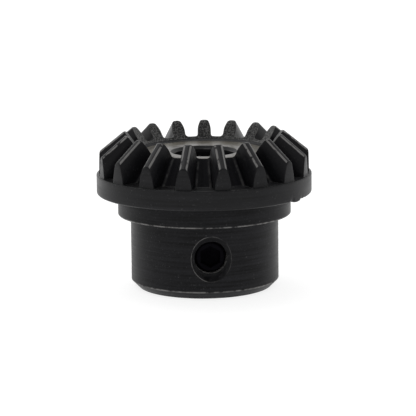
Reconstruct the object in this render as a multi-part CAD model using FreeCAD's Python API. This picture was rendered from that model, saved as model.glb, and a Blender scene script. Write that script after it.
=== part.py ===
"""Straight bevel gear of module 1.5 with 17 teeth, on a turned hub, and its set screw.

Frame: millimetres, +Z up along the bore axis towards the pitch apex. The origin is on the bore axis,
in the hub's end face. The set screw's hole points along -Y.
"""
import FreeCAD, Part
import math
import os

# ---- gear data ----------------------------------------------------------------------------------
MODULE = 1.5
TEETH = 17
PITCH_ANGLE = 45.0          # equal gears on crossed shafts at 90 degrees
PRESSURE_ANGLE = 14.5
ADDENDUM = 1.0 * MODULE
DEDENDUM = 1.25 * MODULE
HEEL_THINNING = 0.40        # taken off the tooth at the pitch line, for backlash
TOE_THINNING = 0.12
APEX_HEIGHT = 29.5          # mounting distance: hub end face to pitch apex
SPACE_AZIMUTH = -95.5       # the tooth space nearest the set screw is 5.5 degrees from it

# ---- turned blank -------------------------------------------------------------------------------
BORE_RADIUS = 4.0
BORE_CHAMFER = 0.4
HUB_RADIUS = 9.75
HUB_CHAMFER = 1.0
HUB_TOP = 9.7               # where the shoulder starts
SHOULDER_RADIUS = 11.4
RIM_BOTTOM = 12.5
RIM_RADIUS = 14.15
LEDGE = 15.1                # flat on top of the rim, where the heels stand
TOE_TIP_RADIUS = 10.45
TOE_SLOPE = 55.0            # the toe cone's rise from the horizontal
WEB_FACE = 17.9             # flat around the top of the bore
EDGE_BREAK = 0.12
RIM_ROUND = 0.28
TOE_ROUND = 0.25            # on the toe corner of each tip
HEEL_ROUND = 0.15           # on the heel corner of each tip
WEB_FILLET = 0.9

# ---- tooth outline ------------------------------------------------------------------------------
HEEL_TIP_ROUND = 0.55       # on the two long edges of each top land
TOE_TIP_ROUND = 0.55
TIP_LIFT = 0.02             # lifts the rounding clear of a tangent cut with the tip cone
HEEL_FILLET = 0.50
TOE_FILLET = 0.42
OVERCUT = 1.6               # how far a space cutter runs past the heel, the toe and the tip
FLANK_POINTS = 6

# ---- set screw ----------------------------------------------------------------------------------
SCREW_HEIGHT = 5.35
HOLE_RADIUS = 2.12          # minor radius of the M5 thread
COUNTERSINK_RADIUS = 3.02   # where the 90 degree countersink reaches the hub's surface
COUNTERSINK_OVERCUT = 0.2
SCREW_RADIUS = 2.07
SCREW_LENGTH = 4.0
SCREW_POINT = 4.05          # from the bore axis to the cup point
SCREW_CHAMFER = 0.30
CUP_RADIUS = 1.25
CUP_DEPTH = 0.6
SOCKET_FLATS = 2.5
SOCKET_DEPTH = 1.6
SOCKET_CONE = 0.6
SOCKET_BEVEL = 0.15

Z_AXIS = FreeCAD.Vector(0, 0, 1)
ORIGIN = FreeCAD.Vector(0, 0, 0)
DELTA = math.radians(PITCH_ANGLE)
CONE_DISTANCE = MODULE * TEETH / (2 * math.sin(DELTA))
ROOT_ANGLE = DELTA - math.atan(DEDENDUM / CONE_DISTANCE)
FACE_ANGLE = 2 * DELTA - ROOT_ANGLE          # tip cone parallel to the mate's root cone
TIP_RADIUS = MODULE * TEETH / 2 + ADDENDUM * math.cos(DELTA)
TIP_HEIGHT = APEX_HEIGHT - MODULE * TEETH / 2 / math.tan(DELTA) + ADDENDUM * math.sin(DELTA)


def rounded_wire(corners):
    """A closed wire in the XZ plane through (x, z, radius) corners, each rounded to its radius."""
    count = len(corners)
    entries = []
    for i, (x, z, radius) in enumerate(corners):
        corner = FreeCAD.Vector(x, 0, z)
        before = FreeCAD.Vector(corners[i - 1][0], 0, corners[i - 1][1]) - corner
        after = FreeCAD.Vector(corners[(i + 1) % count][0], 0, corners[(i + 1) % count][1]) - corner
        before.normalize()
        after.normalize()
        half = before.getAngle(after) / 2
        if radius == 0:
            entries.append((corner, corner, corner))
            continue
        back = radius / math.tan(half)
        middle = (before + after).normalize() * (radius / math.sin(half) - radius)
        entries.append((corner + before * back, corner + middle, corner + after * back))
    edges = []
    for i, (start, middle, end) in enumerate(entries):
        if (end - start).Length > 1e-6:
            edges.append(Part.Arc(start, middle, end).toShape())
        edges.append(Part.LineSegment(end, entries[(i + 1) % count][0]).toShape())
    return Part.Wire(edges)


def blank():
    """The turned gear blank, before its teeth are cut."""
    toe_run = 1 / math.tan(math.radians(TOE_SLOPE))
    toe_tip = TIP_HEIGHT + (TIP_RADIUS - TOE_TIP_RADIUS) / math.tan(FACE_ANGLE)
    web_radius = TOE_TIP_RADIUS - (toe_tip - WEB_FACE) * toe_run
    outline = [
        (BORE_RADIUS, BORE_CHAMFER, 0),
        (BORE_RADIUS + BORE_CHAMFER, 0, 0),
        (HUB_RADIUS - HUB_CHAMFER, 0, EDGE_BREAK),
        (HUB_RADIUS, HUB_CHAMFER, EDGE_BREAK),
        (HUB_RADIUS, HUB_TOP, EDGE_BREAK),
        (SHOULDER_RADIUS, HUB_TOP, EDGE_BREAK),
        (SHOULDER_RADIUS, RIM_BOTTOM, EDGE_BREAK),
        (RIM_RADIUS, RIM_BOTTOM, RIM_ROUND),
        (RIM_RADIUS, LEDGE, EDGE_BREAK),
        (TIP_RADIUS, LEDGE, 0),
        (TIP_RADIUS, TIP_HEIGHT, HEEL_ROUND),
        (TOE_TIP_RADIUS, toe_tip, TOE_ROUND),
        (web_radius, WEB_FACE, WEB_FILLET),
        (BORE_RADIUS + BORE_CHAMFER, WEB_FACE, 0),
        (BORE_RADIUS, WEB_FACE - BORE_CHAMFER, 0),
    ]
    return Part.Face(rounded_wire(outline)).revolve(ORIGIN, Z_AXIS, 360)


def involute(angle):
    """The involute function of a pressure angle in radians."""
    return math.tan(angle) - angle


class Section:
    """A tooth space in the plane square to the pitch cone at one cone distance.

    Tredgold's equivalent spur gear gives the flanks. Points are (across, up) from the pitch line.
    """

    def __init__(self, distance, thinning, fillet, tip_round):
        self.distance = distance
        self.scale = distance / CONE_DISTANCE
        self.radius = distance * math.tan(DELTA)
        pressure = math.radians(PRESSURE_ANGLE)
        self.base = self.radius * math.cos(pressure)
        thickness = math.pi * MODULE / 2 * self.scale - thinning
        self.half_tooth = thickness / (2 * self.radius) + involute(pressure)
        self.half_pitch = math.pi * math.cos(DELTA) / TEETH
        self.fillet = fillet
        self.tip_round = tip_round
        self.floor = -DEDENDUM * self.scale
        # the tip cone is not through the pitch apex, so its height above the pitch cone is its own
        rise = (CONE_DISTANCE - distance) * math.tan(FACE_ANGLE - DELTA)
        self.tip = ADDENDUM - rise

    def flank(self, up):
        """The flank's point at about this height."""
        radius = self.radius + up
        turned = involute(math.acos(self.base / radius)) if radius > self.base else 0.0
        across = self.half_pitch - self.half_tooth + turned
        return radius * math.sin(across), radius * math.cos(across) - self.radius

    def rolled(self, up, radius, side):
        """A circle of this radius touching the flank at this height: its centre and contact."""
        step = 1e-4
        x0, z0 = self.flank(up - step)
        x1, z1 = self.flank(up + step)
        length = math.hypot(x1 - x0, z1 - z0)
        x, z = self.flank(up)
        return (x + side * radius * (z1 - z0) / length, z - side * radius * (x1 - x0) / length), (x, z)

    def contact(self, radius, side, short_of):
        """The flank height where that circle's centre stops being short of where it belongs."""
        low, high = self.floor * 0.99, self.tip + radius
        for _ in range(60):
            middle = (low + high) / 2
            centre, _point = self.rolled(middle, radius, side)
            low, high = (middle, high) if short_of(centre) else (low, middle)
        return middle

    def from_centre(self, point):
        """A point's distance from the equivalent spur gear's centre."""
        return math.hypot(point[0], point[1] + self.radius)

    def outline(self):
        """The cutter's closed outline, from the middle of the floor round to it again."""
        root_up = self.contact(self.fillet, -1, lambda centre: centre[1] < self.floor + self.fillet)
        root_centre, root_point = self.rolled(root_up, self.fillet, -1)
        reach = self.radius + self.tip - self.tip_round + TIP_LIFT
        tip_up = self.contact(self.tip_round, 1, lambda centre: self.from_centre(centre) < reach)
        tip_centre, tip_point = self.rolled(tip_up, self.tip_round, 1)
        heights = [root_up + (tip_up - root_up) * i / (FLANK_POINTS - 1) for i in range(FLANK_POINTS)]
        flank = [self.flank(up) for up in heights]
        start = math.atan2(root_point[1] - root_centre[1], root_point[0] - root_centre[0])
        root_middle = on_circle(root_centre, self.fillet, (start - math.pi / 2) / 2)
        root_end = (root_centre[0], self.floor)
        begin = math.atan2(tip_point[1] - tip_centre[1], tip_point[0] - tip_centre[0])
        finish = math.atan2(tip_centre[1] + self.radius, tip_centre[0])
        tip_end = on_circle(tip_centre, self.tip_round, finish)
        tip_middle = on_circle(tip_centre, self.tip_round, (begin + finish) / 2)
        top = (tip_end[0], self.tip + OVERCUT)
        return root_end, root_middle, flank, tip_middle, tip_end, top


def on_circle(centre, radius, angle):
    """A point on a circle."""
    return centre[0] + radius * math.cos(angle), centre[1] + radius * math.sin(angle)


def section_wire(section):
    """The cutter's outline as a wire in its own plane, for a space centred on +X."""
    def place(point, mirror=1):
        across, up = point
        radius = section.distance * math.sin(DELTA) + up * math.cos(DELTA)
        height = APEX_HEIGHT - section.distance * math.cos(DELTA) + up * math.sin(DELTA)
        return FreeCAD.Vector(radius, mirror * across, height)

    root_end, root_middle, flank, tip_middle, tip_end, top = section.outline()
    sides = []
    for mirror in (1, -1):
        spline = Part.BSplineCurve()
        spline.interpolate([place(p, mirror) for p in flank])
        sides.append([
            Part.Arc(place(root_end, mirror), place(root_middle, mirror), place(flank[0], mirror)).toShape(),
            spline.toShape(),
            Part.Arc(place(flank[-1], mirror), place(tip_middle, mirror), place(tip_end, mirror)).toShape(),
            Part.LineSegment(place(tip_end, mirror), place(top, mirror)).toShape(),
        ])
    floor = Part.LineSegment(place(root_end, -1), place(root_end)).toShape()
    lid = Part.LineSegment(place(top), place(top, -1)).toShape()
    return Part.Wire([floor, *sides[0], lid, *reversed(sides[1])])


def space_cutter():
    """One tooth space, centred on +X, from beyond the toe to beyond the heel and down to the ledge."""
    toe_distance = (TOE_TIP_RADIUS - ADDENDUM * math.cos(DELTA)) / math.sin(DELTA)
    ends = []
    for distance in (toe_distance - OVERCUT, CONE_DISTANCE + 2 * OVERCUT):
        share = (distance - toe_distance) / (CONE_DISTANCE - toe_distance)

        def between(toe, heel, share=share):
            return toe + (heel - toe) * share

        ends.append(Section(
            distance,
            between(TOE_THINNING, HEEL_THINNING),
            between(TOE_FILLET, HEEL_FILLET),
            between(TOE_TIP_ROUND, HEEL_TIP_ROUND),
        ))
    cutter = Part.makeLoft([section_wire(end) for end in ends], True, True)
    reach = 2 * RIM_RADIUS
    above_ledge = Part.makeBox(reach, reach, reach, FreeCAD.Vector(0, -reach / 2, LEDGE))
    return cutter.common(above_ledge)


def along_screw(shape):
    """Turns a shape made along +Z from the bore axis to lie along -Y at the set screw's height."""
    shape.rotate(ORIGIN, FreeCAD.Vector(1, 0, 0), 90)
    shape.translate(FreeCAD.Vector(0, 0, SCREW_HEIGHT))
    return shape


def screw_hole():
    """The set screw's hole through one wall of the hub, with its countersink."""
    hole = Part.makeCylinder(HOLE_RADIUS, HUB_RADIUS, FreeCAD.Vector(0, 0, BORE_RADIUS / 2))
    foot = HUB_RADIUS - (COUNTERSINK_RADIUS - HOLE_RADIUS)
    depth = HUB_RADIUS + COUNTERSINK_OVERCUT - foot
    sink = Part.makeCone(HOLE_RADIUS, HOLE_RADIUS + depth, depth, FreeCAD.Vector(0, 0, foot))
    return along_screw(hole.fuse(sink))


def gear():
    """The gear: hub, shoulder, rim and teeth are cut from one piece."""
    cutters = []
    first = space_cutter()
    for i in range(TEETH):
        cutter = first.copy()
        cutter.rotate(ORIGIN, Z_AXIS, SPACE_AZIMUTH + 360.0 / TEETH * i)
        cutters.append(cutter)
    return blank().cut(cutters).cut(screw_hole())


def set_screw():
    """A hexagon socket set screw with a cup point, wound in until its point meets the bore."""
    far = SCREW_POINT + SCREW_LENGTH
    outline = [
        (0, SCREW_POINT + CUP_DEPTH, 0),
        (CUP_RADIUS, SCREW_POINT, 0),
        (SCREW_RADIUS, SCREW_POINT + SCREW_RADIUS - CUP_RADIUS, 0),
        (SCREW_RADIUS, far - SCREW_CHAMFER, 0),
        (SCREW_RADIUS - SCREW_CHAMFER, far, 0),
        (0, far, 0),
    ]
    body = Part.Face(rounded_wire(outline)).revolve(ORIGIN, Z_AXIS, 360)
    corner = SOCKET_FLATS / math.sqrt(3)
    hexagon = [FreeCAD.Vector(corner * math.cos(math.pi / 3 * i), corner * math.sin(math.pi / 3 * i),
                              far - SOCKET_DEPTH) for i in range(7)]
    socket = Part.Face(Part.makePolygon(hexagon)).extrude(FreeCAD.Vector(0, 0, SOCKET_DEPTH + 1))
    drill = Part.makeCone(0, SOCKET_FLATS / 2, SOCKET_CONE,
                          FreeCAD.Vector(0, 0, far - SOCKET_DEPTH - SOCKET_CONE))
    mouth = corner + SOCKET_BEVEL / 2
    bevel = Part.makeCone(mouth - SOCKET_BEVEL, mouth + SOCKET_BEVEL, 2 * SOCKET_BEVEL,
                          FreeCAD.Vector(0, 0, far - SOCKET_BEVEL))
    return along_screw(body.cut([socket, drill, bevel]))


def main():
    os.makedirs("parts", exist_ok=True)
    for name, make in (("bevel_gear", gear), ("set_screw", set_screw)):
        shape = make()
        shape.exportStep(f"parts/{name}.step")
        box = shape.BoundBox
        print(name, "solids", len(shape.Solids), "valid", shape.isValid(),
              "volume", round(shape.Volume, 2), "size",
              [round(v, 2) for v in (box.XMin, box.XMax, box.YMin, box.YMax, box.ZMin, box.ZMax)])


main()
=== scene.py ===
"""The looks of a straight bevel gear and its set screw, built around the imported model.

Lengths are in millimetres and angles in radians until a mesh is made, which is in metres.
"""
import math
import bmesh
import bpy
import numpy as np
from mathutils import Matrix, Vector


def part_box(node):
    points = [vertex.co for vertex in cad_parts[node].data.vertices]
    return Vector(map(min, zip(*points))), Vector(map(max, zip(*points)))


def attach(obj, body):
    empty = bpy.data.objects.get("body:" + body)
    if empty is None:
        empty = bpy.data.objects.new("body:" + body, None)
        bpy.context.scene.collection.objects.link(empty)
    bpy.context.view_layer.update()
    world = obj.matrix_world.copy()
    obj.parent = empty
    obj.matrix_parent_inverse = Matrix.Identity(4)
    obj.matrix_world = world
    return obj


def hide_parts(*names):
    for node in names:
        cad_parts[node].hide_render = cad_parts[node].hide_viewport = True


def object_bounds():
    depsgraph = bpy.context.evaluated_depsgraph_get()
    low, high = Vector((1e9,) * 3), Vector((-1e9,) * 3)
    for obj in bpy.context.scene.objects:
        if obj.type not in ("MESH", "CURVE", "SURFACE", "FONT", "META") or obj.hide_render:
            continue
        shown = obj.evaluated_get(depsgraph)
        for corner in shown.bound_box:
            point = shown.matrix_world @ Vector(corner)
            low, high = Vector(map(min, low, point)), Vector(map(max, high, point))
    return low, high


MM = 0.001
TURN = 2 * math.pi

# ---- gear data, as in the solid model ----------------------------------------------------------
MODULE = 1.5
TEETH = 17
DELTA = math.radians(45.0)
ADDENDUM = MODULE
DEDENDUM = 1.25 * MODULE
PRESSURE = math.radians(14.5)
HEEL_THINNING, TOE_THINNING = 0.40, 0.12
HEEL_FILLET, TOE_FILLET = 0.50, 0.42
HEEL_TIP_ROUND, TOE_TIP_ROUND = 0.55, 0.55
OVERCUT = 1.6
APEX = 29.5
SPACE_AZIMUTH = math.radians(-95.5)

BORE_RADIUS, BORE_CHAMFER = 4.0, 0.4
HUB_RADIUS, HUB_CHAMFER, HUB_TOP = 9.75, 1.0, 9.7
SHOULDER_RADIUS = 11.4
RIM_BOTTOM, RIM_RADIUS, LEDGE = 12.5, 14.15, 15.1
TOE_TIP_RADIUS = 10.45
TOE_SLOPE = math.radians(55.0)
WEB_FACE, WEB_FILLET = 17.9, 0.9
EDGE_BREAK, RIM_ROUND, TOE_ROUND, HEEL_ROUND = 0.12, 0.28, 0.25, 0.15
ARC_WEIGHT = 0.7            # makes the curve over a square edge nearly a true arc
SIDE_BREAK = 0.06           # on the teeth's side edges
TIP_BREAK = 1.1             # how far a tip's rounding reaches at the toe and the heel, to its radius
ROOM_SHARE = 0.35           # of the heel face, at most taken by its edge's rounding
FOOT_FILLET = 0.08          # between a heel face and the ledge

CONE_DISTANCE = MODULE * TEETH / (2 * math.sin(DELTA))
FACE_ANGLE = DELTA + math.atan(DEDENDUM / CONE_DISTANCE)
TIP_RADIUS = MODULE * TEETH / 2 + ADDENDUM * math.cos(DELTA)
TIP_HEIGHT = APEX - MODULE * TEETH / 2 / math.tan(DELTA) + ADDENDUM * math.sin(DELTA)
TOE_TIP_HEIGHT = TIP_HEIGHT + (TIP_RADIUS - TOE_TIP_RADIUS) / math.tan(FACE_ANGLE)
TOE_DISTANCE = (TOE_TIP_RADIUS - ADDENDUM * math.cos(DELTA)) / math.sin(DELTA)
HALF_PITCH = math.pi / TEETH

# ---- set screw and its thread -------------------------------------------------------------------
HOLE_RADIUS, THREAD_DEPTH, THREAD_PITCH = 2.12, 0.36, 0.8
THREAD_FLAT, THREAD_FLANK = 0.2, 0.6        # shares of half the pitch
COUNTERSINK_RADIUS, COUNTERSINK_OVERCUT = 3.02, 0.2
SCREW_RADIUS, SCREW_THREAD_DEPTH = 2.07, 0.30
SCREW_LENGTH, SCREW_CHAMFER = 4.0, 0.30
CUP_RADIUS, CUP_DEPTH = 1.25, 0.6
SOCKET_FLATS, SOCKET_DEPTH, SOCKET_CONE, SOCKET_BEVEL = 2.5, 1.6, 0.6, 0.15

# ---- a nick and a burr on the rim's lower edge: azimuths in degrees, and how far the edge is lifted
BURR_AZIMUTHS = (-43.5, -42.5, -41.0, -39.9, -39.2, -36.5, -34.0, -33.2, -32.4, -31.0, -30.2, -27.5, -26.5)
BURR_LIFTS = (0.0, 0.12, 0.16, 0.0, -0.14, -0.21, -0.16, 0.0, 0.08, 0.09, 0.0, 0.05, 0.0)
BURR_TOP, BURR_BLEND = 0.6, 0.5     # how far up the rim they reach, and over what height they fade

# ---- where edges are abraded and painted highlights show, as shares of the bare-steel colour: over 1 leaves few breaks ---
TOE_EDGE_WEAR_AND_HIGHLIGHT, TIP_EDGE_PAINTED_HIGHLIGHT, ROOT_EDGE_WEAR_AND_HIGHLIGHT, BORE_EDGE_WEAR_AND_HIGHLIGHT, WEB_PAINTED_HIGHLIGHT = 0.7, 4.0, 0.3, 0.5, 2.2
# the web's lighter band round the bore is a painted highlight
WEB_HIGHLIGHT_WIDTH = 1.9            # of the web's brighter band around the bore

# ---- mesh density -------------------------------------------------------------------------------
FLOOR_COLUMNS, FILLET_COLUMNS, LOW_FLANK_COLUMNS, FLANK_COLUMNS, TIP_COLUMNS, LAND_COLUMNS = 2, 5, 3, 4, 4, 2
CORNER_COLUMN = FLOOR_COLUMNS + FILLET_COLUMNS + LOW_FLANK_COLUMNS
HALF_COLUMNS = CORNER_COLUMN + FLANK_COLUMNS + TIP_COLUMNS + LAND_COLUMNS
TOOTH_COLUMNS = 2 * HALF_COLUMNS * TEETH
PLAIN_COLUMNS = 12 * TEETH
BORE_RINGS = 16
SEAM_RADIUS = SHOULDER_RADIUS + 1.2     # under the rim, where the tooth columns end
SEAM_STEP = 0.1                         # from there to the first ring of plain columns

# ---- finishes on the gear, by material slot -----------------------------------------------------
TURNED, CUT, FACED, DRILLED, TOE, RIM, ROOT, SINK = range(8)
PIT_COLOUR = (0.16, 0.16, 0.16, 1)
# bare steel on abraded edges, and also a painted highlight along edges and on the web round the bore
BARE_AND_HIGHLIGHT_COLOUR = (0.22, 0.215, 0.21, 1)


def involute(angle):
    """The involute function of a pressure angle."""
    return math.tan(angle) - angle


def blend(a, b, share):
    """The value this share of the way from a to b."""
    return a + (b - a) * share


class Section:
    """Half of a tooth space and half of a tooth, in the plane square to the pitch cone at one distance."""

    def __init__(self, distance):
        share = (distance - TOE_DISTANCE) / (CONE_DISTANCE - TOE_DISTANCE)
        self.distance = distance
        self.fillet = blend(TOE_FILLET, HEEL_FILLET, share)
        self.radius = distance * math.tan(DELTA)
        self.base = self.radius * math.cos(PRESSURE)
        scale = distance / CONE_DISTANCE
        thickness = math.pi * MODULE / 2 * scale - blend(TOE_THINNING, HEEL_THINNING, share)
        self.half_tooth = thickness / (2 * self.radius) + involute(PRESSURE)
        self.floor = -DEDENDUM * scale
        self.tip = ADDENDUM - (CONE_DISTANCE - distance) * math.tan(FACE_ANGLE - DELTA)
        self.tip_round = blend(TOE_TIP_ROUND, HEEL_TIP_ROUND, share)
        self.root_up = self.contact(self.fillet, -1, lambda centre: centre[1] < self.floor + self.fillet)
        tip_reach = self.radius + self.tip - self.tip_round
        self.tip_up = self.contact(self.tip_round, 1, lambda centre: self.from_centre(centre) < tip_reach)

    def flank(self, up):
        """The flank's point at about this height over the pitch line, as (across, up)."""
        radius = self.radius + up
        turned = involute(math.acos(self.base / radius)) if radius > self.base else 0.0
        across = HALF_PITCH * math.cos(DELTA) - self.half_tooth + turned
        return np.array((radius * math.sin(across), radius * math.cos(across) - self.radius))

    def rolled(self, up, radius, side):
        """The centre of a circle that touches the flank at this height."""
        step = 1e-4
        along = self.flank(up + step) - self.flank(up - step)
        along /= np.linalg.norm(along)
        return self.flank(up) + side * radius * np.array((along[1], -along[0]))

    def contact(self, radius, side, short_of):
        """The flank height at which that circle's centre stops being short of where it belongs."""
        low, high = self.floor * 0.99, self.tip + radius
        for _ in range(50):
            middle = (low + high) / 2
            if short_of(self.rolled(middle, radius, side)):
                low = middle
            else:
                high = middle
        return middle

    def from_centre(self, point):
        """A point's distance from the equivalent spur gear's centre."""
        return math.hypot(point[0], point[1] + self.radius)

    def flank_column(self, share):
        """The flank's point this share of the way from the root fillet to the tip rounding."""
        return self.place(self.flank(blend(self.root_up, self.tip_up, share)))

    def place(self, point):
        """A point of the section in the row's frame, for a space centred on +X."""
        radius = self.distance * math.sin(DELTA) + point[1] * math.cos(DELTA)
        height = APEX - self.distance * math.cos(DELTA) + point[1] * math.sin(DELTA)
        return np.array((radius, point[0], height))

    def columns(self, corner_share):
        """The half outline's points, from the middle of the space to the middle of the tooth."""
        root_centre = self.rolled(self.root_up, self.fillet, -1)
        root_angle = angle_of(self.flank(self.root_up) - root_centre)
        tip_centre = self.rolled(self.tip_up, self.tip_round, 1)
        tip_angle = angle_of(self.flank(self.tip_up) - tip_centre)
        points = [self.place((root_centre[0] * s, self.floor)) for s in shares(FLOOR_COLUMNS)]
        points += [self.place(on_circle(root_centre, self.fillet, blend(-math.pi / 2, root_angle, s)))
                   for s in shares(FILLET_COLUMNS)]
        points += [self.flank_column(corner_share * s) for s in shares(LOW_FLANK_COLUMNS)]
        points += [self.flank_column(blend(corner_share, 1, s)) for s in shares(FLANK_COLUMNS)]
        land_angle = math.atan2(tip_centre[1] + self.radius, tip_centre[0])
        points += [self.place(on_circle(tip_centre, self.tip_round, blend(tip_angle, land_angle, s)))
                   for s in shares(TIP_COLUMNS)]
        edge = self.place(on_circle(tip_centre, self.tip_round, land_angle))
        start = math.atan2(edge[1], edge[0])
        points += [cylindrical(tip_cone_radius(edge[2]), blend(start, HALF_PITCH, s), edge[2])
                   for s in np.linspace(0, 1, LAND_COLUMNS + 1)]
        return np.array(points)


def shares(count):
    """Evenly spaced shares from 0 up to, and without, 1."""
    return [i / count for i in range(count)]


def angle_of(vector):
    """A plane vector's angle."""
    return math.atan2(vector[1], vector[0])


def on_circle(centre, radius, angle):
    """A point on a circle."""
    return np.array((centre[0] + radius * math.cos(angle), centre[1] + radius * math.sin(angle)))


def cylindrical(radius, azimuth, height):
    """A point from its radius, azimuth and height."""
    return np.array((radius * math.cos(azimuth), radius * math.sin(azimuth), height))


def polar(points):
    """Radius, azimuth and height of an array of points."""
    return np.hypot(points[:, 0], points[:, 1]), np.arctan2(points[:, 1], points[:, 0]), points[:, 2]


def cartesian(radius, azimuth, height):
    """An array of points from arrays of radius, azimuth and height."""
    height = np.broadcast_to(height, np.shape(azimuth))
    return np.stack([radius * np.cos(azimuth), radius * np.sin(azimuth), height], axis=1)


def crossing(at, count, outside):
    """How far along each of the lines the function of (radius, height) changes sign from plus to minus."""
    low = np.zeros(count)
    high = np.ones(count)
    for _ in range(50):
        middle = (low + high) / 2
        radius, _azimuth, height = polar(at(middle))
        positive = outside(radius, height) > 0
        low = np.where(positive, middle, low)
        high = np.where(positive, high, middle)
    return middle


def above_toe(radius, height):
    """How far a point stands out of the toe's cone."""
    return height - toe_height(radius)


def toe_height(radius):
    """The height of the toe's cone at a radius."""
    return TOE_TIP_HEIGHT - (TOE_TIP_RADIUS - radius) * math.tan(TOE_SLOPE)


def tip_cone_radius(height):
    """The tip cone's radius at a height."""
    return TIP_RADIUS + (TIP_HEIGHT - height) * math.tan(FACE_ANGLE)


def corner_share(toe, heel):
    """Where on the flank the line runs through the foot of the heel's edge, where it meets the ledge."""
    low, high = 0.0, 1.0
    for _ in range(50):
        middle = (low + high) / 2
        start = toe.flank_column(middle)[None]
        along = heel.flank_column(middle)[None] - start
        share = crossing(lambda s: start + along * s, 1, lambda r, z: TIP_RADIUS - r)
        if (start + along * share)[0, 2] < LEDGE:
            low = middle
        else:
            high = middle
    return middle


def along_outline(points):
    """The direction of the half outline at each of its points, mirrored at both its ends."""
    radius, azimuth, height = polar(points)
    before = cartesian(radius[1:2], -azimuth[1:2], height[1:2])
    after = cartesian(radius[-2:-1], 2 * HALF_PITCH - azimuth[-2:-1], height[-2:-1])
    padded = np.vstack([before, points, after])
    step = padded[2:] - padded[:-2]
    return step / np.linalg.norm(step, axis=1)[:, None]


def rounded_edge(before, edge, after):
    """Rows that round an edge off between the rows before and after it."""
    rows = []
    for s in (0.0, 0.25, 0.5, 0.75, 1.0):
        weights = np.array(((1 - s) ** 2, 2 * s * (1 - s) * ARC_WEIGHT, s ** 2))
        weights /= weights.sum()
        rows.append(weights[0] * before + weights[1] * edge + weights[2] * after)
    return rows


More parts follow.
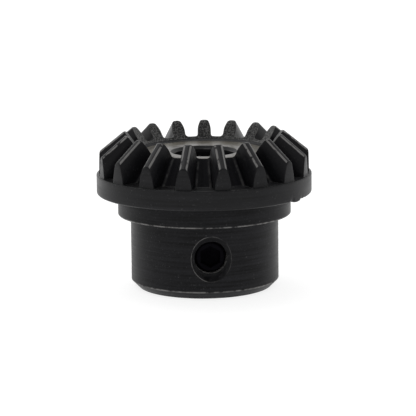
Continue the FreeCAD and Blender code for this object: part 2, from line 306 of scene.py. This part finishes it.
def tooth_rows():
    """Rows over half a space and half a tooth, from the web's fillet to the rim: (points, finish, abrasion
    and painted highlight).
    """
    toe = Section(TOE_DISTANCE - OVERCUT)
    heel = Section(CONE_DISTANCE + 2 * OVERCUT)
    share = corner_share(toe, heel)
    start = toe.columns(share)
    along = heel.columns(share) - start
    index = np.arange(HALF_COLUMNS + 1)
    on_ledge = index < CORNER_COLUMN
    even = index / HALF_COLUMNS * HALF_PITCH
    tip_start = HALF_COLUMNS - LAND_COLUMNS - TIP_COLUMNS
    towards_tip = np.clip((index - tip_start) / TIP_COLUMNS, 0, 1)
    toe_break = blend(SIDE_BREAK, TIP_BREAK * TOE_ROUND, towards_tip)

    def at(distance):
        """Points this far along the columns, held inside the tip cone."""
        points = start + along * distance[:, None]
        radius, azimuth, height = polar(points)
        cone = tip_cone_radius(height)
        radius = np.where(index > HALF_COLUMNS - LAND_COLUMNS, cone, np.minimum(radius, cone))
        return cartesian(radius, azimuth, height)

    first = crossing(at, len(index), above_toe)
    last = np.where(on_ledge,
                    crossing(at, len(index), lambda r, z: z - LEDGE),
                    crossing(at, len(index), lambda r, z: TIP_RADIUS - r))
    length = np.linalg.norm(along, axis=1)
    rows = []

    # the toe: up its cone from the web's fillet, then over its edge
    edge = at(first)
    radius, azimuth, _height = polar(edge)
    facing = cartesian(-math.sin(TOE_SLOPE), azimuth, math.cos(TOE_SLOPE))
    inward = -np.cross(along_outline(edge), facing)
    inset = edge + inward * toe_break[:, None]
    foot_radius = web_fillet_top()
    foot_azimuth = blend(azimuth, even, 0.5)
    inset_radius, inset_azimuth, _height = polar(inset)
    for s in (0, 0.25, 0.5, 0.75):
        row_radius = blend(foot_radius, inset_radius, s)
        row = cartesian(row_radius, blend(foot_azimuth, inset_azimuth, s), toe_height(row_radius))
        rows.append((row, TOE, 0))
    begin = first + toe_break / length
    # the toe's rounded edge is painted lighter: abraded steel and a painted highlight
    for i, row in enumerate(rounded_edge(inset, edge, at(begin))):
        rows.append((row, CUT if i > 1 else TOE, TOE_EDGE_WEAR_AND_HIGHLIGHT if 0 < i < 4 else 0))

    # along the tooth and over the heel's edge, or down on to the ledge
    edge = at(last)
    radius, azimuth, height = polar(edge)
    room = np.where(on_ledge, TIP_RADIUS - radius, height - LEDGE)
    heel_break = np.minimum(blend(SIDE_BREAK, TIP_BREAK * HEEL_ROUND, towards_tip), ROOM_SHARE * room)
    end = last - heel_break / length
    # a painted highlight line along the middle of each tip's rounding, and abraded steel with a painted
    # highlight low in the root fillet
    rubbed_and_highlit = np.where(index == tip_start + TIP_COLUMNS // 2, TIP_EDGE_PAINTED_HIGHLIGHT, 0.0)
    rubbed_and_highlit += np.where((index > FLOOR_COLUMNS) & (index < FLOOR_COLUMNS + 3), ROOT_EDGE_WEAR_AND_HIGHLIGHT, 0.0)
    cut = np.where(index < FLOOR_COLUMNS + FILLET_COLUMNS, ROOT, CUT)
    cut = np.where(index < HALF_COLUMNS - LAND_COLUMNS, cut, RIM)
    for s in (0.02, 0.15, 0.35, 0.5, 0.65, 0.85, 0.98):
        rows.append((at(blend(begin, end, s)), cut, rubbed_and_highlit))
    flat = np.where(on_ledge, 0.0, 1.0)
    facing = cartesian(flat, azimuth, 1 - flat)
    inset = edge + np.cross(along_outline(edge), facing) * heel_break[:, None]
    for i, row in enumerate(rounded_edge(at(end), edge, inset)):
        rows.append((row, RIM if i > 1 else CUT, 0))

    # down the heel's face and out over the ledge
    inset_radius, inset_azimuth, inset_height = polar(inset)
    corner_azimuth = azimuth[CORNER_COLUMN]
    spread = np.where(on_ledge, index / CORNER_COLUMN * corner_azimuth,
                      blend(corner_azimuth, HALF_PITCH,
                            (index - CORNER_COLUMN) / (HALF_COLUMNS - CORNER_COLUMN)))
    foot_azimuth = blend(azimuth, spread, 0.5)
    fillet = np.minimum(FOOT_FILLET, 0.5 * np.maximum(height - LEDGE, 0))
    above_foot = cartesian(np.full(len(index), TIP_RADIUS), foot_azimuth, LEDGE + fillet)
    above_radius, above_azimuth, above_height = polar(above_foot)
    for s in (0.25, 0.5, 0.75):
        row = cartesian(blend(inset_radius, above_radius, s), blend(inset_azimuth, above_azimuth, s),
                        blend(inset_height, above_height, s))
        rows.append((row, RIM, 0))
    foot = cartesian(np.full(len(index), TIP_RADIUS), foot_azimuth, LEDGE)
    outside = cartesian(np.full(len(index), TIP_RADIUS + FOOT_FILLET), foot_azimuth, LEDGE)
    for row in rounded_edge(above_foot, foot, outside):
        rows.append((row, RIM, 0))
    return rows


def web_fillet_top():
    """The radius at which the web's fillet meets the toe's cone."""
    foot = TOE_TIP_RADIUS - (TOE_TIP_HEIGHT - WEB_FACE) / math.tan(TOE_SLOPE)
    return foot + WEB_FILLET * math.tan(TOE_SLOPE / 2) * math.cos(TOE_SLOPE)


def whole_ring(points):
    """A row of half a space and half a tooth, mirrored and repeated all the way round."""
    radius, azimuth, height = polar(points)
    back = slice(HALF_COLUMNS - 1, 0, -1)
    radius = np.concatenate([radius, radius[back]])
    azimuth = np.concatenate([azimuth, 2 * HALF_PITCH - azimuth[back]])
    height = np.concatenate([height, height[back]])
    turns = SPACE_AZIMUTH + 2 * HALF_PITCH * np.arange(TEETH)[:, None]
    return cartesian(np.tile(radius, TEETH), (turns + azimuth).ravel(), np.tile(height, TEETH))


def all_round(values):
    """A value for each column of half a space and half a tooth, mirrored and repeated in the same way."""
    values = np.broadcast_to(values, HALF_COLUMNS + 1)
    return np.tile(np.concatenate([values, values[HALF_COLUMNS - 1:0:-1]]), TEETH)


def circle(radius, height, count):
    """A plain ring of points."""
    azimuth = SPACE_AZIMUTH + TURN * np.arange(count) / count
    return cartesian(np.full(count, radius), azimuth, height)


def rounded_profile(corners, arc_points=5):
    """Points (radius, height, on an edge) along (radius, height, rounding) corners, the ends left sharp."""
    points = [(*corners[0][:2], False)]
    for i in range(1, len(corners) - 1):
        corner = np.array(corners[i][:2])
        rounding = corners[i][2]
        before = np.array(corners[i - 1][:2]) - corner
        after = np.array(corners[i + 1][:2]) - corner
        before /= np.linalg.norm(before)
        after /= np.linalg.norm(after)
        half = math.acos(np.clip(before @ after, -1, 1)) / 2
        reach = rounding / math.tan(half)
        middle = before + after
        centre = corner + middle / np.linalg.norm(middle) * rounding / math.sin(half)
        start = corner + before * reach - centre
        end = corner + after * reach - centre
        sweep = math.pi - 2 * half
        for s in np.linspace(0, 1, arc_points):
            arm = (math.sin((1 - s) * sweep) * start + math.sin(s * sweep) * end) / math.sin(sweep)
            points.append((*(centre + arm), True))
    points.append((*corners[-1][:2], False))
    return points


def burred(points):
    """A ring of the rim, with the nick and the burr that its lower edge has on one side."""
    radius, azimuth, height = polar(points)
    lift = np.interp(np.degrees(azimuth), BURR_AZIMUTHS, BURR_LIFTS)
    low = np.clip((RIM_BOTTOM + BURR_TOP - height) / BURR_BLEND, 0, 1)
    low *= np.clip(radius - SEAM_RADIUS, 0, 1)
    nicked = 0.5 * low * np.maximum(lift, 0)
    return cartesian(radius - nicked, azimuth, height + low * lift)


def divided(points, spacing, depth, chance):
    """Splits a profile's straight runs into short steps, with the unevenness that turning leaves."""
    rows = []
    for (r0, z0, edge0), (r1, z1, edge1) in zip(points, points[1:]):
        rows.append((r0, z0, edge0))
        length = math.hypot(r1 - r0, z1 - z0)
        if edge0 and edge1 and length < 2 * spacing:
            continue
        count = max(1, round(length / spacing))
        start = np.array((r0, z0))
        end = np.array((r1, z1))
        across = np.array((z1 - z0, r0 - r1)) / length
        for i in range(1, count):
            offset = depth * chance.uniform(0, 1)
            rows.append((*(blend(start, end, i / count) + across * offset), False))
    rows.append(points[-1])
    return rows


class Skin:
    """A closed mesh built ring by ring."""

    def __init__(self):
        self.points = []
        self.faces = []
        self.finishes = []
        self.wear_and_painted_highlight = []
        self.rings = []

    def ring(self, points, finish, wear_and_painted_highlight=0.0):
        """Adds a ring, joined to the one before it with this finish."""
        first = len(self.points)
        self.points.extend(points)
        self.wear_and_painted_highlight.extend(np.broadcast_to(wear_and_painted_highlight, len(points)))
        self.rings.append((first, len(points)))
        if len(self.rings) > 1:
            self.join(self.rings[-2], self.rings[-1], finish)

    def join(self, one, other, finish):
        """Faces between two rings, which may have different numbers of points."""
        (a, m), (b, n) = one, other
        if m == n:
            new = [(a + i, a + (i + 1) % m, b + (i + 1) % n, b + i) for i in range(m)]
        else:
            new = []
            i = j = 0
            while i < m or j < n:
                if j == n or (i < m and (i + 1) * n <= (j + 1) * m):
                    new.append((a + i, a + (i + 1) % m, b + j % n))
                    i += 1
                else:
                    new.append((a + i % m, b + (j + 1) % n, b + j))
                    j += 1
        self.faces.extend(new)
        self.finishes.extend(np.broadcast_to(finish, len(new)))

    def close(self, finish):
        """Joins the last ring to the first."""
        self.join(self.rings[-1], self.rings[0], finish)

    def cap(self, tip, finish):
        """Closes the last ring with a fan to a point."""
        first, count = self.rings[-1]
        self.points.append(tip)
        self.wear_and_painted_highlight.append(0.0)
        middle = len(self.points) - 1
        self.faces.extend([(first + i, first + (i + 1) % count, middle) for i in range(count)])
        self.finishes.extend([finish] * count)

    def mesh_object(self, name, turn=Matrix.Identity(4)):
        """The finished object, in metres, with its faces pointing outwards."""
        mesh = bpy.data.meshes.new(name)
        mesh.from_pydata([tuple(p) for p in np.array(self.points) * MM], [], self.faces)
        mesh.polygons.foreach_set("material_index", self.finishes)
        wear_and_painted_highlight = mesh.attributes.new("wear_and_painted_highlight", "FLOAT", "POINT")
        wear_and_painted_highlight.data.foreach_set("value", self.wear_and_painted_highlight)
        work = bmesh.new()
        work.from_mesh(mesh)
        bmesh.ops.remove_doubles(work, verts=work.verts, dist=1e-7)
        bmesh.ops.recalc_face_normals(work, faces=work.faces)
        work.to_mesh(mesh)
        work.free()
        mesh.transform(turn)
        mesh.polygons.foreach_set("use_smooth", [True] * len(mesh.polygons))
        piece = bpy.data.objects.new(name, mesh)
        bpy.context.scene.collection.objects.link(piece)
        return piece


def gear_skin():
    """The whole gear without its set screw's hole."""
    chance = np.random.default_rng(17)
    skin = Skin()

    # the web, from the bore outwards
    foot = TOE_TIP_RADIUS - (TOE_TIP_HEIGHT - WEB_FACE) / math.tan(TOE_SLOPE)
    top = [(BORE_RADIUS, WEB_FACE - 2 * BORE_CHAMFER, 0),
           (BORE_RADIUS, WEB_FACE - BORE_CHAMFER, 0.05),
           (BORE_RADIUS + BORE_CHAMFER, WEB_FACE, 0.05),
           (foot - 0.5 * WEB_FILLET, WEB_FACE, 0)]
    # the web is painted lighter in a band round the bore as a painted highlight, and the bore's rounded edge
    # as abraded steel with a painted highlight
    for r, z, edge in divided(rounded_profile(top, 4), 0.1, 0.003, chance):
        from_edge = r - BORE_RADIUS - BORE_CHAMFER
        if from_edge > 0:
            skin.ring(circle(r, z, PLAIN_COLUMNS), FACED, WEB_PAINTED_HIGHLIGHT * max(0.0, 1 - from_edge / WEB_HIGHLIGHT_WIDTH))
        else:
            skin.ring(circle(r, z, PLAIN_COLUMNS), RIM, BORE_EDGE_WEAR_AND_HIGHLIGHT * edge)
    fillet = [(foot - 0.5 * WEB_FILLET, WEB_FACE, 0), (foot, WEB_FACE, WEB_FILLET),
              (foot + 1, WEB_FACE + math.tan(TOE_SLOPE), 0)]
    for r, z, edge in rounded_profile(fillet, 6)[1:-2]:
        skin.ring(circle(r, z, TOOTH_COLUMNS), TURNED)

    for points, finish, wear_and_painted_highlight in tooth_rows():
        skin.ring(whole_ring(points), all_round(finish), all_round(wear_and_painted_highlight))

    # the rim, then the shoulder, the hub and its end face
    rim = [(TIP_RADIUS + FOOT_FILLET, LEDGE, 0), (RIM_RADIUS, LEDGE, EDGE_BREAK),
           (RIM_RADIUS, RIM_BOTTOM, RIM_ROUND), (SEAM_RADIUS, RIM_BOTTOM, 0)]
    for r, z, edge in divided(rounded_profile(rim, 6), 0.3, 0.002, chance)[1:]:
        skin.ring(burred(circle(r, z, TOOTH_COLUMNS)), RIM)
    hub = [(SEAM_RADIUS - SEAM_STEP, RIM_BOTTOM, 0), (SHOULDER_RADIUS, RIM_BOTTOM, 0.1),
           (SHOULDER_RADIUS, HUB_TOP, EDGE_BREAK), (HUB_RADIUS, HUB_TOP, 0.1),
           (HUB_RADIUS, HUB_CHAMFER, EDGE_BREAK), (HUB_RADIUS - HUB_CHAMFER, 0, EDGE_BREAK),
           (BORE_RADIUS + BORE_CHAMFER, 0, 0.05), (BORE_RADIUS, BORE_CHAMFER, 0.05),
           (BORE_RADIUS, 1, 0)]
    # the rounded edges of this profile are painted lighter: abraded steel and a painted highlight
    for r, z, edge in divided(rounded_profile(hub, 5), 0.11, 0.014, chance):
        skin.ring(circle(r, max(z, 0), PLAIN_COLUMNS), TURNED, float(edge))
    for height in np.linspace(1.5, WEB_FACE - 1, BORE_RINGS):
        skin.ring(circle(BORE_RADIUS + 0.001 * chance.uniform(0, 1), height, PLAIN_COLUMNS), DRILLED)
    skin.close(DRILLED)
    return skin


def thread_radius(radius, depth, turns):
    """The radius of a thread that rises this much from its radius, at a place counted in turns."""
    place = np.abs((np.asarray(turns) % 1.0) - 0.5) * 2
    return radius + depth * np.clip((place - THREAD_FLAT) / THREAD_FLANK, 0, 1)


def along_screw(height):
    """Turns what is made along +Z from the bore's axis to lie along -Y at the set screw's height."""
    return Matrix.Translation((0, 0, height)) @ Matrix.Rotation(math.pi / 2, 4, "X")


def hole_cutter(height):
    """What the set screw's hole takes out of the hub: a tapped hole with a countersink."""
    skin = Skin()
    count = 60
    azimuth = TURN * np.arange(count) / count
    sink_foot = HUB_RADIUS - (COUNTERSINK_RADIUS - HOLE_RADIUS)
    low = BORE_RADIUS - 1.0
    skin.ring(cartesian(np.full(count, 0.3), azimuth, low), DRILLED)
    steps = int((sink_foot - low + 0.5) / THREAD_PITCH * 10)
    for y in np.linspace(low, sink_foot + THREAD_DEPTH, steps):
        radius = thread_radius(HOLE_RADIUS, THREAD_DEPTH, y / THREAD_PITCH + azimuth / TURN)
        radius = np.maximum(radius, HOLE_RADIUS + (y - sink_foot))
        skin.ring(cartesian(radius, azimuth, y), SINK if y > sink_foot - 0.5 else DRILLED)
    far = HUB_RADIUS + COUNTERSINK_OVERCUT
    skin.ring(cartesian(np.full(count, HOLE_RADIUS + far - sink_foot), azimuth, far), SINK)
    skin.cap((0, 0, far), DRILLED)
    skin.rings.append(skin.rings[0])
    skin.cap((0, 0, low), DRILLED)
    return skin.mesh_object("hole_cutter", along_screw(height * MM))


def make_gear(screw_height):
    """The gear's mesh with its hole cut."""
    piece = gear_skin().mesh_object("gear_body")
    cutter = hole_cutter(screw_height)
    cut = piece.modifiers.new("hole", "BOOLEAN")
    cut.operation = "DIFFERENCE"
    cut.solver = "EXACT"
    cut.object = cutter
    bpy.context.view_layer.update()
    result = bpy.data.meshes.new_from_object(piece.evaluated_get(bpy.context.evaluated_depsgraph_get()))
    piece.modifiers.clear()
    piece.data = result
    bpy.data.objects.remove(cutter)
    result.polygons.foreach_set("use_smooth", [True] * len(result.polygons))
    result.set_sharp_from_angle(angle=math.radians(28))
    normals = piece.modifiers.new("flat faces", "WEIGHTED_NORMAL")
    normals.keep_sharp = True
    return piece


def make_screw(point, height):
    """A hexagon socket set screw with a cup point, its point this far from the bore's axis."""
    skin = Skin()
    count = 72
    azimuth = TURN * np.arange(count) / count
    far = point + SCREW_LENGTH

    def ring(radius, y):
        skin.ring(cartesian(np.broadcast_to(radius, count), azimuth, y), 0)

    def hexagon(inner):
        return inner / np.cos((azimuth + math.pi / 6) % (math.pi / 3) - math.pi / 6)

    ring(CUP_RADIUS * 0.1, point + CUP_DEPTH * 0.9)
    ring(CUP_RADIUS * 0.5, point + CUP_DEPTH * 0.5)
    ring(CUP_RADIUS - 0.06, point + 0.03)
    ring(CUP_RADIUS, point)
    ring(CUP_RADIUS + 0.06, point + 0.05)
    first = point + SCREW_RADIUS - CUP_RADIUS
    steps = int(SCREW_LENGTH / THREAD_PITCH * 12)
    for y in np.linspace(point + 0.3, far, steps):
        groove = thread_radius(0, SCREW_THREAD_DEPTH, y / THREAD_PITCH + azimuth / TURN)
        radius = SCREW_RADIUS - SCREW_THREAD_DEPTH + groove
        radius = np.minimum(radius, CUP_RADIUS + (y - point))
        radius = np.minimum(radius, SCREW_RADIUS - SCREW_CHAMFER + (far - y))
        ring(radius, y)
    corner = SOCKET_FLATS / math.sqrt(3)
    ring(corner + 0.2, far)
    ring(corner + SOCKET_BEVEL / 2 + 0.02, far)
    ring(np.minimum(hexagon(SOCKET_FLATS / 2) + 0.02, corner + 0.02), far - 0.06)
    ring(hexagon(SOCKET_FLATS / 2), far - SOCKET_BEVEL)
    ring(hexagon(SOCKET_FLATS / 2), far - SOCKET_DEPTH / 2)
    ring(hexagon(SOCKET_FLATS / 2), far - SOCKET_DEPTH)
    ring(SOCKET_FLATS / 2 - 0.05, far - SOCKET_DEPTH - 0.02)
    ring(0.2, far - SOCKET_DEPTH - SOCKET_CONE * 0.85)
    skin.cap((0, 0, far - SOCKET_DEPTH - SOCKET_CONE), 0)
    skin.rings.append(skin.rings[0])
    skin.cap((0, 0, point + CUP_DEPTH), 0)
    piece = skin.mesh_object("grub_screw", along_screw(height * MM))
    piece.data.set_sharp_from_angle(angle=math.radians(32))
    return piece


class Nodes:
    """A short way to write a material's nodes."""

    def __init__(self, name):
        self.material = bpy.data.materials.new(name)
        self.material.use_nodes = True
        self.tree = self.material.node_tree
        self.shader = self.tree.nodes["Principled BSDF"]

    def add(self, kind, inputs=(), **settings):
        """A node with settings, its inputs set to values or joined to sockets."""
        node = self.tree.nodes.new(kind)
        for key, value in settings.items():
            setattr(node, key, value)
        for key, value in dict(inputs).items():
            self.put(node.inputs[key], value)
        return node

    def put(self, socket, value):
        """Joins a socket to another one, or sets its value."""
        if isinstance(value, bpy.types.NodeSocket):
            self.tree.links.new(value, socket)
        else:
            socket.default_value = value

    def math(self, operation, a, b=0.0, c=0.0, clamp=False):
        """One arithmetic step."""
        node = self.add("ShaderNodeMath", {0: a, 1: b, 2: c}, operation=operation, use_clamp=clamp)
        return node.outputs[0]

    def scaled(self, vector, scale):
        """A vector with each part scaled."""
        return self.add("ShaderNodeVectorMath", {0: vector, 1: scale}, operation="MULTIPLY").outputs[0]

    def noise(self, vector, scale=1.0, detail=3.0, roughness=0.5):
        """Noise about 0.5."""
        node = self.add("ShaderNodeTexNoise", {"Vector": vector, "Scale": scale, "Detail": detail,
                                               "Roughness": roughness})
        return node.outputs["Fac"]

    def ramp(self, value, low, high, to_low=0.0, to_high=1.0):
        """A value mapped from one range to another and held in it."""
        node = self.add("ShaderNodeMapRange", {"Value": value, "From Min": low, "From Max": high,
                                               "To Min": to_low, "To Max": to_high})
        return node.outputs[0]

    def mix(self, share, one, other):
        """A colour between two."""
        node = self.add("ShaderNodeMix", data_type="RGBA")
        self.put(node.inputs[0], share)
        self.put(node.inputs[6], one)
        self.put(node.inputs[7], other)
        return node.outputs[2]


def blackened_steel(name, dark, light, roughness, lines, shine=0.11, bump=0.8, grain=0.5, mottle=0.07,
                    lengthways=False, glint_edge_radius=0.0):
    """Black-oxide steel with tool marks round the axis or along the teeth, mottling, specks, and abraded
    edges painted lighter as highlights.

    Abrasion and painted highlights come from the mesh, or, given an edge's radius, from how near to it a
    point is, as a painted glint brightest towards -X.
    """
    nodes = Nodes(name)
    place = nodes.add("ShaderNodeTexCoord").outputs["Object"]
    parts = nodes.add("ShaderNodeSeparateXYZ", {0: place}).outputs
    radius = nodes.math("SQRT", nodes.math("ADD", nodes.math("MULTIPLY", parts[0], parts[0]),
                                           nodes.math("MULTIPLY", parts[1], parts[1])))
    run = nodes.math("ADD", radius, parts[2])
    if lengthways:
        azimuth = nodes.math("ARCTAN2", parts[1], parts[0])
        streaks = {0: nodes.math("MULTIPLY", azimuth, TIP_RADIUS * MM * lines),
                   1: nodes.math("MULTIPLY", run, 90.0)}
    else:
        streaks = {0: nodes.math("MULTIPLY", parts[0], 90.0),
                   1: nodes.math("MULTIPLY", parts[1], 90.0),
                   2: nodes.math("MULTIPLY", run, lines)}
    marks = nodes.noise(nodes.add("ShaderNodeCombineXYZ", streaks).outputs[0], 1.0, 4.0, 0.6)
    speckle = nodes.noise(place, 5200.0, 2.0, 0.6)
    cloud = nodes.noise(place, 260.0, 4.0, 0.55)
    pits = nodes.ramp(speckle, 0.68, 0.76)
    # the mesh's mask of abraded steel and painted highlight
    wear_and_painted_highlight = nodes.add("ShaderNodeAttribute", attribute_name="wear_and_painted_highlight").outputs["Fac"]
    # a painted glint near the given edge, brightest towards -X
    if glint_edge_radius:
        near_edge_glint = nodes.ramp(radius, (glint_edge_radius - 0.14) * MM, (glint_edge_radius - 0.05) * MM)
        wear_and_painted_highlight = nodes.math("MULTIPLY", near_edge_glint, nodes.ramp(parts[0], -1.5 * MM, 1.0 * MM, 1.0, 0.3))
    broken = nodes.ramp(nodes.noise(place, 900.0, 3.0, 0.6), 0.36, 0.58)
    worn_and_highlit = nodes.math("MULTIPLY", wear_and_painted_highlight, broken, clamp=True)
    tone = nodes.math("MULTIPLY_ADD", marks, 0.75 - mottle, nodes.math("MULTIPLY", cloud, 0.25))
    tone = nodes.math("MULTIPLY_ADD", nodes.ramp(speckle, 0.38, 0.62), mottle, tone)
    colour = nodes.mix(nodes.ramp(tone, 0.36, 0.64), (*dark, 1), (*light, 1))
    colour = nodes.mix(nodes.math("MULTIPLY", pits, grain), colour, PIT_COLOUR)
    # bare steel where abraded, and painted highlights
    colour = nodes.mix(nodes.math("MULTIPLY", worn_and_highlit, 0.7), colour, BARE_AND_HIGHLIGHT_COLOUR)
    nodes.put(nodes.shader.inputs["Base Color"], colour)
    uneven = nodes.math("MULTIPLY_ADD", nodes.math("SUBTRACT", marks, 0.5), 0.25, roughness)
    uneven = nodes.math("MULTIPLY_ADD", nodes.math("SUBTRACT", cloud, 0.5), 0.18, uneven)
    nodes.put(nodes.shader.inputs["Roughness"], uneven)
    relief = nodes.math("MULTIPLY_ADD", speckle, 0.35, marks)
    bumped = nodes.add("ShaderNodeBump", {"Strength": bump, "Distance": 0.00002, "Height": relief})
    nodes.put(nodes.shader.inputs["Normal"], bumped.outputs[0])
    nodes.shader.inputs["IOR"].default_value = 1.5
    nodes.shader.inputs["Specular IOR Level"].default_value = shine
    return nodes.material


def gear_finishes():
    """The gear's materials, in the order of its finishes."""
    return [
        blackened_steel("turned_black", (0.001, 0.001, 0.0013), (0.0135, 0.0135, 0.0155), 0.40, 3200.0),
        blackened_steel("cut_black", (0.0055, 0.0055, 0.0065), (0.012, 0.012, 0.0135), 0.36, 2600.0,
                        shine=0.16, bump=0.4, grain=0.3, lengthways=True),
        blackened_steel("faced_black", (0.020, 0.018, 0.013), (0.105, 0.091, 0.066), 0.40, 3000.0,
                        shine=0.38, grain=0.5, mottle=0.3),
        blackened_steel("drilled_black", (0.002, 0.002, 0.0028), (0.006, 0.006, 0.0075), 0.5, 4000.0,
                        shine=0.10, bump=0.3, grain=0.2),
        blackened_steel("toe_black", (0.001, 0.001, 0.001), (0.085, 0.084, 0.082), 0.40, 2600.0,
                        shine=0.25, bump=1.6, grain=1.0, mottle=0.5),
        blackened_steel("rim_black", (0.006, 0.006, 0.0065), (0.0135, 0.0135, 0.015), 0.38, 2600.0,
                        shine=0.14, bump=0.4),
        blackened_steel("root_black", (0.003, 0.003, 0.004), (0.009, 0.009, 0.011), 0.40, 1800.0,
                        shine=0.06, bump=0.3, grain=0.2, lengthways=True),
        # the countersink, with a painted glint along its outer edge, brightest towards -X
        blackened_steel("sink_black", (0.006, 0.006, 0.0065), (0.016, 0.016, 0.0175), 0.40, 3000.0,
                        shine=0.12, glint_edge_radius=HUB_RADIUS),
    ]


def add_floor(height):
    """A wide pale floor under the hub's end face."""
    bpy.ops.mesh.primitive_plane_add(size=6, location=(0, 0, height))
    floor = bpy.context.object
    floor.name = "floor"
    nodes = Nodes("pale_floor")
    nodes.put(nodes.shader.inputs["Base Color"], (0.35, 0.35, 0.35, 1))
    nodes.put(nodes.shader.inputs["Roughness"], 0.9)
    nodes.put(nodes.shader.inputs["Specular IOR Level"], 0.1)
    nodes.put(nodes.shader.inputs["Emission Color"], (1, 1, 1, 1))
    nodes.put(nodes.shader.inputs["Emission Strength"], 0.80)
    floor.data.materials.append(nodes.material)


def add_light(name, place, target, size, watts):
    """A square soft light aimed at a point, in metres."""
    light = bpy.data.lights.new(name, "AREA")
    light.size = size
    light.energy = watts
    lamp = bpy.data.objects.new(name, light)
    lamp.location = place
    lamp.rotation_euler = (Vector(target) - Vector(place)).to_track_quat("-Z", "Y").to_euler()
    bpy.context.scene.collection.objects.link(lamp)


def add_lights():
    """A bright soft room, whitest behind the gear and dimmer in front of it, and a light overhead."""
    world = bpy.data.worlds.new("room")
    bpy.context.scene.world = world
    world.use_nodes = True
    nodes = world.node_tree.nodes
    links = world.node_tree.links
    across = nodes.new("ShaderNodeSeparateXYZ")
    links.new(nodes.new("ShaderNodeTexCoord").outputs["Generated"], across.inputs[0])
    dimming = nodes.new("ShaderNodeMapRange")
    dimming.inputs["From Min"].default_value = -0.6
    dimming.inputs["From Max"].default_value = 0.6
    dimming.inputs["To Min"].default_value = 0.5
    dimming.inputs["To Max"].default_value = 1.02
    links.new(across.outputs[1], dimming.inputs["Value"])
    links.new(dimming.outputs[0], nodes["Background"].inputs["Strength"])
    nodes["Background"].inputs["Color"].default_value = (1, 1, 1, 1)
    add_light("overhead", (-0.1, 0.25, 0.6), (0, 0, 0), 0.5, 1.2)
    bpy.context.scene.view_settings.view_transform = "Standard"


# ---- camera -------------------------------------------------------------------------------------
CAMERA_AZIMUTH, CAMERA_ELEVATION = math.radians(-5.0), math.radians(10.97)
CAMERA_DISTANCE = 315.7     # from the point on the axis that it looks at
CAMERA_TARGET = 9.9         # that point's height
CAMERA_ROLL = math.radians(-0.62)
LENS, SENSOR = 206.95, 36.0
SHIFT_RIGHT, SHIFT_UP = 0.0085, 0.0063


def add_camera():
    """The camera, a long lens a little above the gear."""
    camera = bpy.data.cameras.new("camera")
    camera.lens = LENS
    camera.sensor_width = SENSOR
    camera.shift_x = SHIFT_RIGHT
    camera.shift_y = SHIFT_UP
    camera.clip_start = 0.01
    viewer = bpy.data.objects.new("camera", camera)
    back = Vector((math.sin(CAMERA_AZIMUTH) * math.cos(CAMERA_ELEVATION),
                   -math.cos(CAMERA_AZIMUTH) * math.cos(CAMERA_ELEVATION),
                   math.sin(CAMERA_ELEVATION)))
    aim = (-back).to_track_quat("-Z", "Y").to_matrix().to_4x4()
    place = Vector((0, 0, CAMERA_TARGET)) + back * CAMERA_DISTANCE
    viewer.matrix_world = Matrix.Translation(place * MM) @ aim @ Matrix.Rotation(CAMERA_ROLL, 4, "Z")
    bpy.context.scene.collection.objects.link(viewer)
    bpy.context.scene.camera = viewer


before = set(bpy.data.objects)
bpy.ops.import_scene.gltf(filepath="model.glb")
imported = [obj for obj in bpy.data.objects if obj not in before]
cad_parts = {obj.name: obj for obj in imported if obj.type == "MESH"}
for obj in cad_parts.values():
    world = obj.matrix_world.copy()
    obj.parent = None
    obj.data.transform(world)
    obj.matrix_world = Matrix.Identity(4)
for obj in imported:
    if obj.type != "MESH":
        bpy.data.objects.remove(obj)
cad_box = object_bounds()
add_camera()
add_lights()
add_floor(cad_box[0][2])

screw_low, screw_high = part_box("set_screw")
screw_height = (screw_low.z + screw_high.z) / 2 / MM
gear = make_gear(screw_height)
for finish in gear_finishes():
    gear.data.materials.append(finish)
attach(gear, "gear")
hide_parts("bevel_gear")

screw = make_screw(-screw_high.y / MM, screw_height)
# the screw is painted near-black with almost no shine, as painted shade for the hole it sits deep in
screw.data.materials.append(
    blackened_steel("screw_painted_shade_black", (0.0022, 0.0020, 0.0032), (0.0042, 0.0038, 0.0055), 0.6, 4000.0,
                    shine=0.02, bump=0.2, grain=0.0))
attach(screw, "screw")
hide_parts("set_screw")
